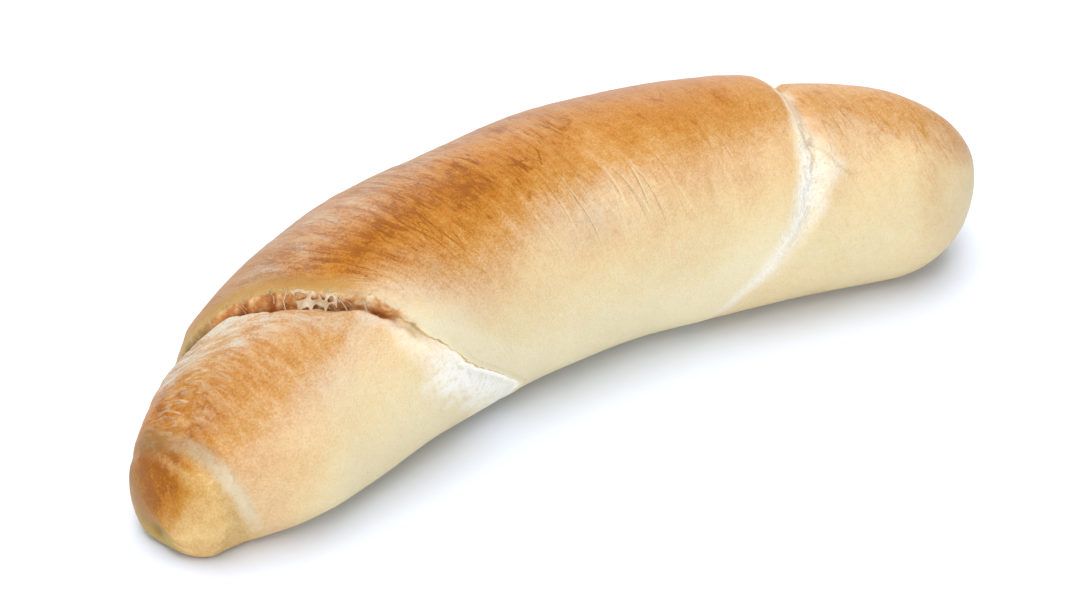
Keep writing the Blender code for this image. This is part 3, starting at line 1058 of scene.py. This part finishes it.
def skin_colour(n, place):
    """Colour of the browned skin, with the heights of its streaks, mottling and creases."""
    brown = n.stored("browning")
    streaky = n.stored("streaks")
    free = n.spread(n.stored("from_left_lip"), 2.0, 4.0)
    patches = n.noise(place, 170, 2, 0.5)
    mottle = n.noise(place, 520, 4, 0.7)
    grain = n.noise(place, 2400, 2, 0.6)
    folded = n.times(streaky, free, n.spread(patches, -0.03, 0.07))
    # Fine creases: cut in by the bump, and painted darker along them as shade
    crease_shade_lines = n.total((n.lines(430, 95, 3.0, 0.06), 1.0), (n.lines(820, 210, 4.0, 0.05), 0.7))
    crease_shade_lines = n.times(crease_shade_lines, folded)
    marks = n.stored("stretched")
    # Stretch marks as pairs of lines: a pale painted highlight on each ridge and painted shade beside it
    highlit_stretch_lines = n.times(n.lines(330, 38, 7.0, 0.055), marks)
    shaded_stretch_lines = n.times(n.lines(330, 38, 7.13, 0.045), marks)
    fine_streaks = n.drawn_noise(1000, 200, 0.0, 4, 0.68)
    lined = n.times(n.total((fine_streaks, 0.46), (n.drawn_noise(430, 75, 5.0, 2, 0.5), 0.34)), streaky)
    parts = (lined, mottle, grain, crease_shade_lines, highlit_stretch_lines, shaded_stretch_lines)
    uneven = n.total(*zip(parts, (1.0, 0.36, 0.46, 0.22, -0.2, 0.14)))
    relief = n.total(*zip(parts, (2.0, 0.8, 0.6, -0.5, 0.5, -0.4)))
    baked = n.spread(brown, 0.1, 0.7, 0.58, 1.0)
    level = n.total((uneven, baked), (brown, 1.0), (n.dots(place, 210, 0.06, 0.3), 0.24))
    # Dusty bloom and painted sheen, broken up by the streaks
    dust_and_sheen_amount = n.times(n.stored("dust_and_sheen"), n.spread(n.total((lined, 2.6), (grain, 0.8)), 0.2, -0.2, 0.4, 1.4))
    return n.mix(dust_and_sheen_amount, n.ramp(level, BAKING), DUST_AND_SHEEN_COLOUR), relief


def lip_colour(n, place, colour):
    """The skin's colour with the left lip's pale rim, torn wall and crack, and painted shade on the olive
    edge above the lip, in the wall's hollows and in the closed gap at the back.
    """
    closing = n.stored("closing")
    frayed = n.total((n.noise(place, 900, 3, 0.6), 1.5), (n.stored("from_left_lip"), 1.0))
    lowered = n.total((frayed, 1.0), (closing, 0.8))
    above = n.times(n.spread(lowered, 1.0, 1.4), n.stored("over_lip"))
    # Olive tone above the lip, darkened as painted shade where the edge turns down into the gap
    olive_shade = n.times(n.spread(frayed, 6.5, 2.4), n.times(above, 0.7))
    rim = n.times(n.spread(frayed, 2.3, 1.5), n.times(above, 0.65))
    fibres = n.total((n.drawn_noise(300, 1000, 2.0, 3, 0.6), 0.5), (n.noise(place, 560, 3, 0.6), 1.5))
    upper = n.spread(frayed, 0.4, 1.6)
    # Wall tone: fibres, painted darker in the hollows as shade and lighter towards the top as painted light
    wall_tone_and_shade = n.total((fibres, 1.0), (0.5, 1.0), (n.stored("shaded_hollow"), -0.44), (upper, 0.2))
    lowest = n.spread(n.total((frayed, 1.0), (n.stored("raised"), -1.0)), -2.0, -1.5)
    inside = n.times(n.spread(frayed, 1.55, 1.25), lowest, n.stored("opened"))
    over = n.times(n.spread(frayed, 0.3, 0.0), n.spread(frayed, -2.2, -1.5), n.times(n.stored("flap"), 0.7))
    # Painted shadow in the narrow gap where the left lip closes at the back
    gap_shadow = n.times(n.spread(lowered, 2.1, 1.4), n.spread(frayed, -1.6, -0.9), n.times(closing, 0.8))
    line = n.times(n.spread(n.math("ABSOLUTE", frayed), 0.3, 0.08), n.stored("cracked"))
    line = n.times(line, n.spread(n.noise(place, 260, 2, 0.5), -0.1, 0.12, 0.4, 1.0))
    return n.cover(
        colour, (olive_shade, OLIVE_SHADE_COLOUR), (rim, RIM_COLOUR), (inside, n.ramp(wall_tone_and_shade, TORN_TONE_AND_SHADE)), (over, FLAP_COLOUR),
        (gap_shadow, GAP_SHADOW_COLOUR), (line, CRACK_COLOUR),
    )


def ring_colour(n, place, colour):
    """The skin's colour with the nose's ring pale under a painted highlight, and painted glints and shade
    along the fine folds over the top of it and beside it.
    """
    across = n.total((n.stored("from_ring"), 1.0), (n.noise(place, 150, 2, 0.5), 1.6))
    frayed = n.spread(n.drawn_noise(900, 90, 8.0, 3, 0.6), -0.14, 0.1, 0.45, 1.0)
    away = n.math("ABSOLUTE", n.math("SUBTRACT", across, 0.2))
    # Pale dough of the ring with a painted highlight along its middle
    light = n.times(n.spread(away, 1.35, 0.1), n.times(n.stored("pale_highlit_ring"), 0.66), frayed)
    pinched = n.times(n.stored("pinched"), n.spread(n.noise(place, 420, 3, 0.6), -0.12, 0.08))
    # Painted glints along the fine folds, with painted shade beside them
    folds = n.times(n.lines(1100, 110, 9.0, 0.11), pinched, 0.55)
    shades = n.times(n.lines(1100, 110, 9.15, 0.09), pinched, 0.6)
    return n.cover(colour, (light, FOLD_HIGHLIGHT_COLOUR), (folds, FOLD_HIGHLIGHT_COLOUR), (shades, FOLD_SHADE))


def crust_material():
    """Baked crust: pale to golden brown by how far it is browned, floury and torn where the mesh says so."""
    n = Nodes("baked_crust")
    place = n.place()
    crumpled = n.noise(place, 900, 4, 0.65)
    raw_with_shade = n.times(n.stored("raw_tip"), 0.85)
    dent = n.stored("dent_shade")
    golden = n.times(n.spread(n.stored("from_ring"), 2.0, -1.5), 0.5)
    pale = n.times(n.stored("cream"), n.spread(crumpled, -0.25, 0.05, 0.55, 1.0))
    dust = n.times(n.stored("flour"), n.spread(crumpled, -0.18, 0.02, 0.35, 1.0))
    # The crease and crevice, painted darker as shade
    crease_shade_amount = n.times(n.stored("shaded_crease"), 0.4)
    colour, relief = skin_colour(n, place)
    # Raw tip, dent floor and back edge: all painted darker as shade, the raw tip over its own pale dough
    colour = n.cover(colour, (raw_with_shade, RAW_AND_SHADE_COLOUR), (dent, DENT_SHADE_COLOUR), (n.stored("back_edge_shade"), BACK_EDGE_SHADE_COLOUR))
    colour = n.mix(golden, colour, GOLDEN_TINT, "MULTIPLY")
    # The nose's dull brown back, then painted shade beside the ring's fold over the top
    colour = n.cover(colour, (n.stored("umber"), UMBER_COLOUR), (n.stored("ring_fold_shade"), RING_FOLD_SHADE_COLOUR))
    colour = ring_colour(n, place, colour)
    colour = n.cover(colour, (pale, CREAM_COLOUR), (dust, FLOUR_COLOUR), (crease_shade_amount, CREASE_SHADE_COLOUR))
    n.shade("Base Color", lip_colour(n, place, colour))
    n.shade("Roughness", n.spread(dust, 0.0, 1.0, 0.46, 0.8))
    n.shade("Specular IOR Level", 0.22)
    folds = n.bump(n.times(crumpled, n.stored("cream")), 0.0006)
    n.shade("Normal", n.bump(relief, 0.00022, folds))
    return n.material


def crumb_material():
    """Torn dough: pale, unevenly baked."""
    n = Nodes("torn_dough")
    place = n.place()
    crumb = n.total((n.noise(place, 430, 4, 0.6), 2.7), (0.45, 1.0))
    n.shade("Base Color", n.ramp(crumb, CRUMB))
    n.shade("Roughness", 0.6)
    n.shade("Specular IOR Level", 0.3)
    n.shade("Normal", n.bump(n.noise(place, 1500, 3, 0.6), 0.0001))
    return n.material


def floor_material():
    """Plain white."""
    n = Nodes("floor_white")
    n.shade("Base Color", (0.845, 0.893, 0.99, 1.0))
    n.shade("Roughness", 0.9)
    n.shade("Specular IOR Level", 0.1)
    return n.material


# ---- Stage: floor, light and camera ----
VIEW_AZIMUTH = 33.953  # degrees; 0 looks along +Y
VIEW_ELEVATION = 35.071
VIEW_DISTANCE = 0.47702
VIEW_AIM = (-0.01021, -0.01177, 0.019)
LENS = 82.67
SENSOR = 36.0
FLOOR_SIZE = 6.0
FLOOR_DROP = 0.0002  # below the foot, so that the two don't touch
SURROUND_COLOUR = (0.945, 1.0, 1.1, 1)
SURROUND_STRENGTH = 0.3


def view_axes():
    """Unit vectors of the camera's view: ahead, to the right, and level ahead."""
    azimuth = math.radians(VIEW_AZIMUTH)
    elevation = math.radians(VIEW_ELEVATION)
    level = Vector((math.sin(azimuth), math.cos(azimuth), 0))
    ahead = level * math.cos(elevation) - Vector((0, 0, math.sin(elevation)))
    right = Vector((math.cos(azimuth), -math.sin(azimuth), 0))
    return ahead, right, level


def make_camera():
    data = bpy.data.cameras.new("camera")
    data.sensor_fit = "HORIZONTAL"
    data.sensor_width = SENSOR
    data.lens = LENS
    data.clip_start = 0.01
    data.clip_end = 20
    camera = put("camera", data)
    ahead = view_axes()[0]
    camera.location = Vector(VIEW_AIM) - ahead * VIEW_DISTANCE
    camera.rotation_euler = ahead.to_track_quat("-Z", "Y").to_euler()
    bpy.context.scene.camera = camera


def make_floor():
    half = FLOOR_SIZE / 2
    mesh = bpy.data.meshes.new("floor")
    corners = [(-half, -half, 0), (half, -half, 0), (half, half, 0), (-half, half, 0)]
    mesh.from_pydata(corners, [], [(0, 1, 2, 3)])
    mesh.materials.append(floor_material())
    floor = put("floor", mesh)
    floor.location.z = -FLOOR_DROP


def make_light(name, azimuth, elevation, distance, size, level, shines=True, mirrored=True):
    """Soft light aimed at the roll, azimuth from the camera's side; level is what white shows facing it."""
    _, right, ahead = view_axes()
    turn = math.radians(azimuth)
    rise = math.radians(elevation)
    way = (right * math.sin(turn) - ahead * math.cos(turn)) * math.cos(rise) + Vector((0, 0, math.sin(rise)))
    data = bpy.data.lights.new(name, "AREA")
    data.shape = "SQUARE"
    data.size = size
    data.energy = level * (math.pi * distance) ** 2
    light = put(name, data)
    light.location = way * distance
    light.rotation_euler = (-way).to_track_quat("-Z", "Y").to_euler()
    light.visible_diffuse = shines
    light.visible_glossy = mirrored


def make_lights():
    make_light("key", 195, 74, 1.4, 1.6, 1.25, mirrored=False)
    make_light("sheen", 180, 14, 1.3, 1.2, 0.42, shines=False)
    make_light("top_front", 10, 66, 1.2, 0.5, 0.22)
    make_light("low_front", -20, 14, 1.3, 0.8, 0.45, mirrored=False)
    world = bpy.data.worlds.new("surround")
    world.use_nodes = True
    background = world.node_tree.nodes["Background"].inputs
    background["Color"].default_value = SURROUND_COLOUR
    background["Strength"].default_value = SURROUND_STRENGTH
    bpy.context.scene.world = world


make_camera()
make_crust(crust_material())
crumb = crumb_material()
for number, (span, holes) in enumerate(WEBS):
    make_web("torn_web_%d" % (number + 1), crumb, span, holes)
make_strands(crumb)
make_floor()
make_lights()
scene = bpy.context.scene
scene.view_settings.view_transform = "Standard"
scene.view_settings.look = "None"
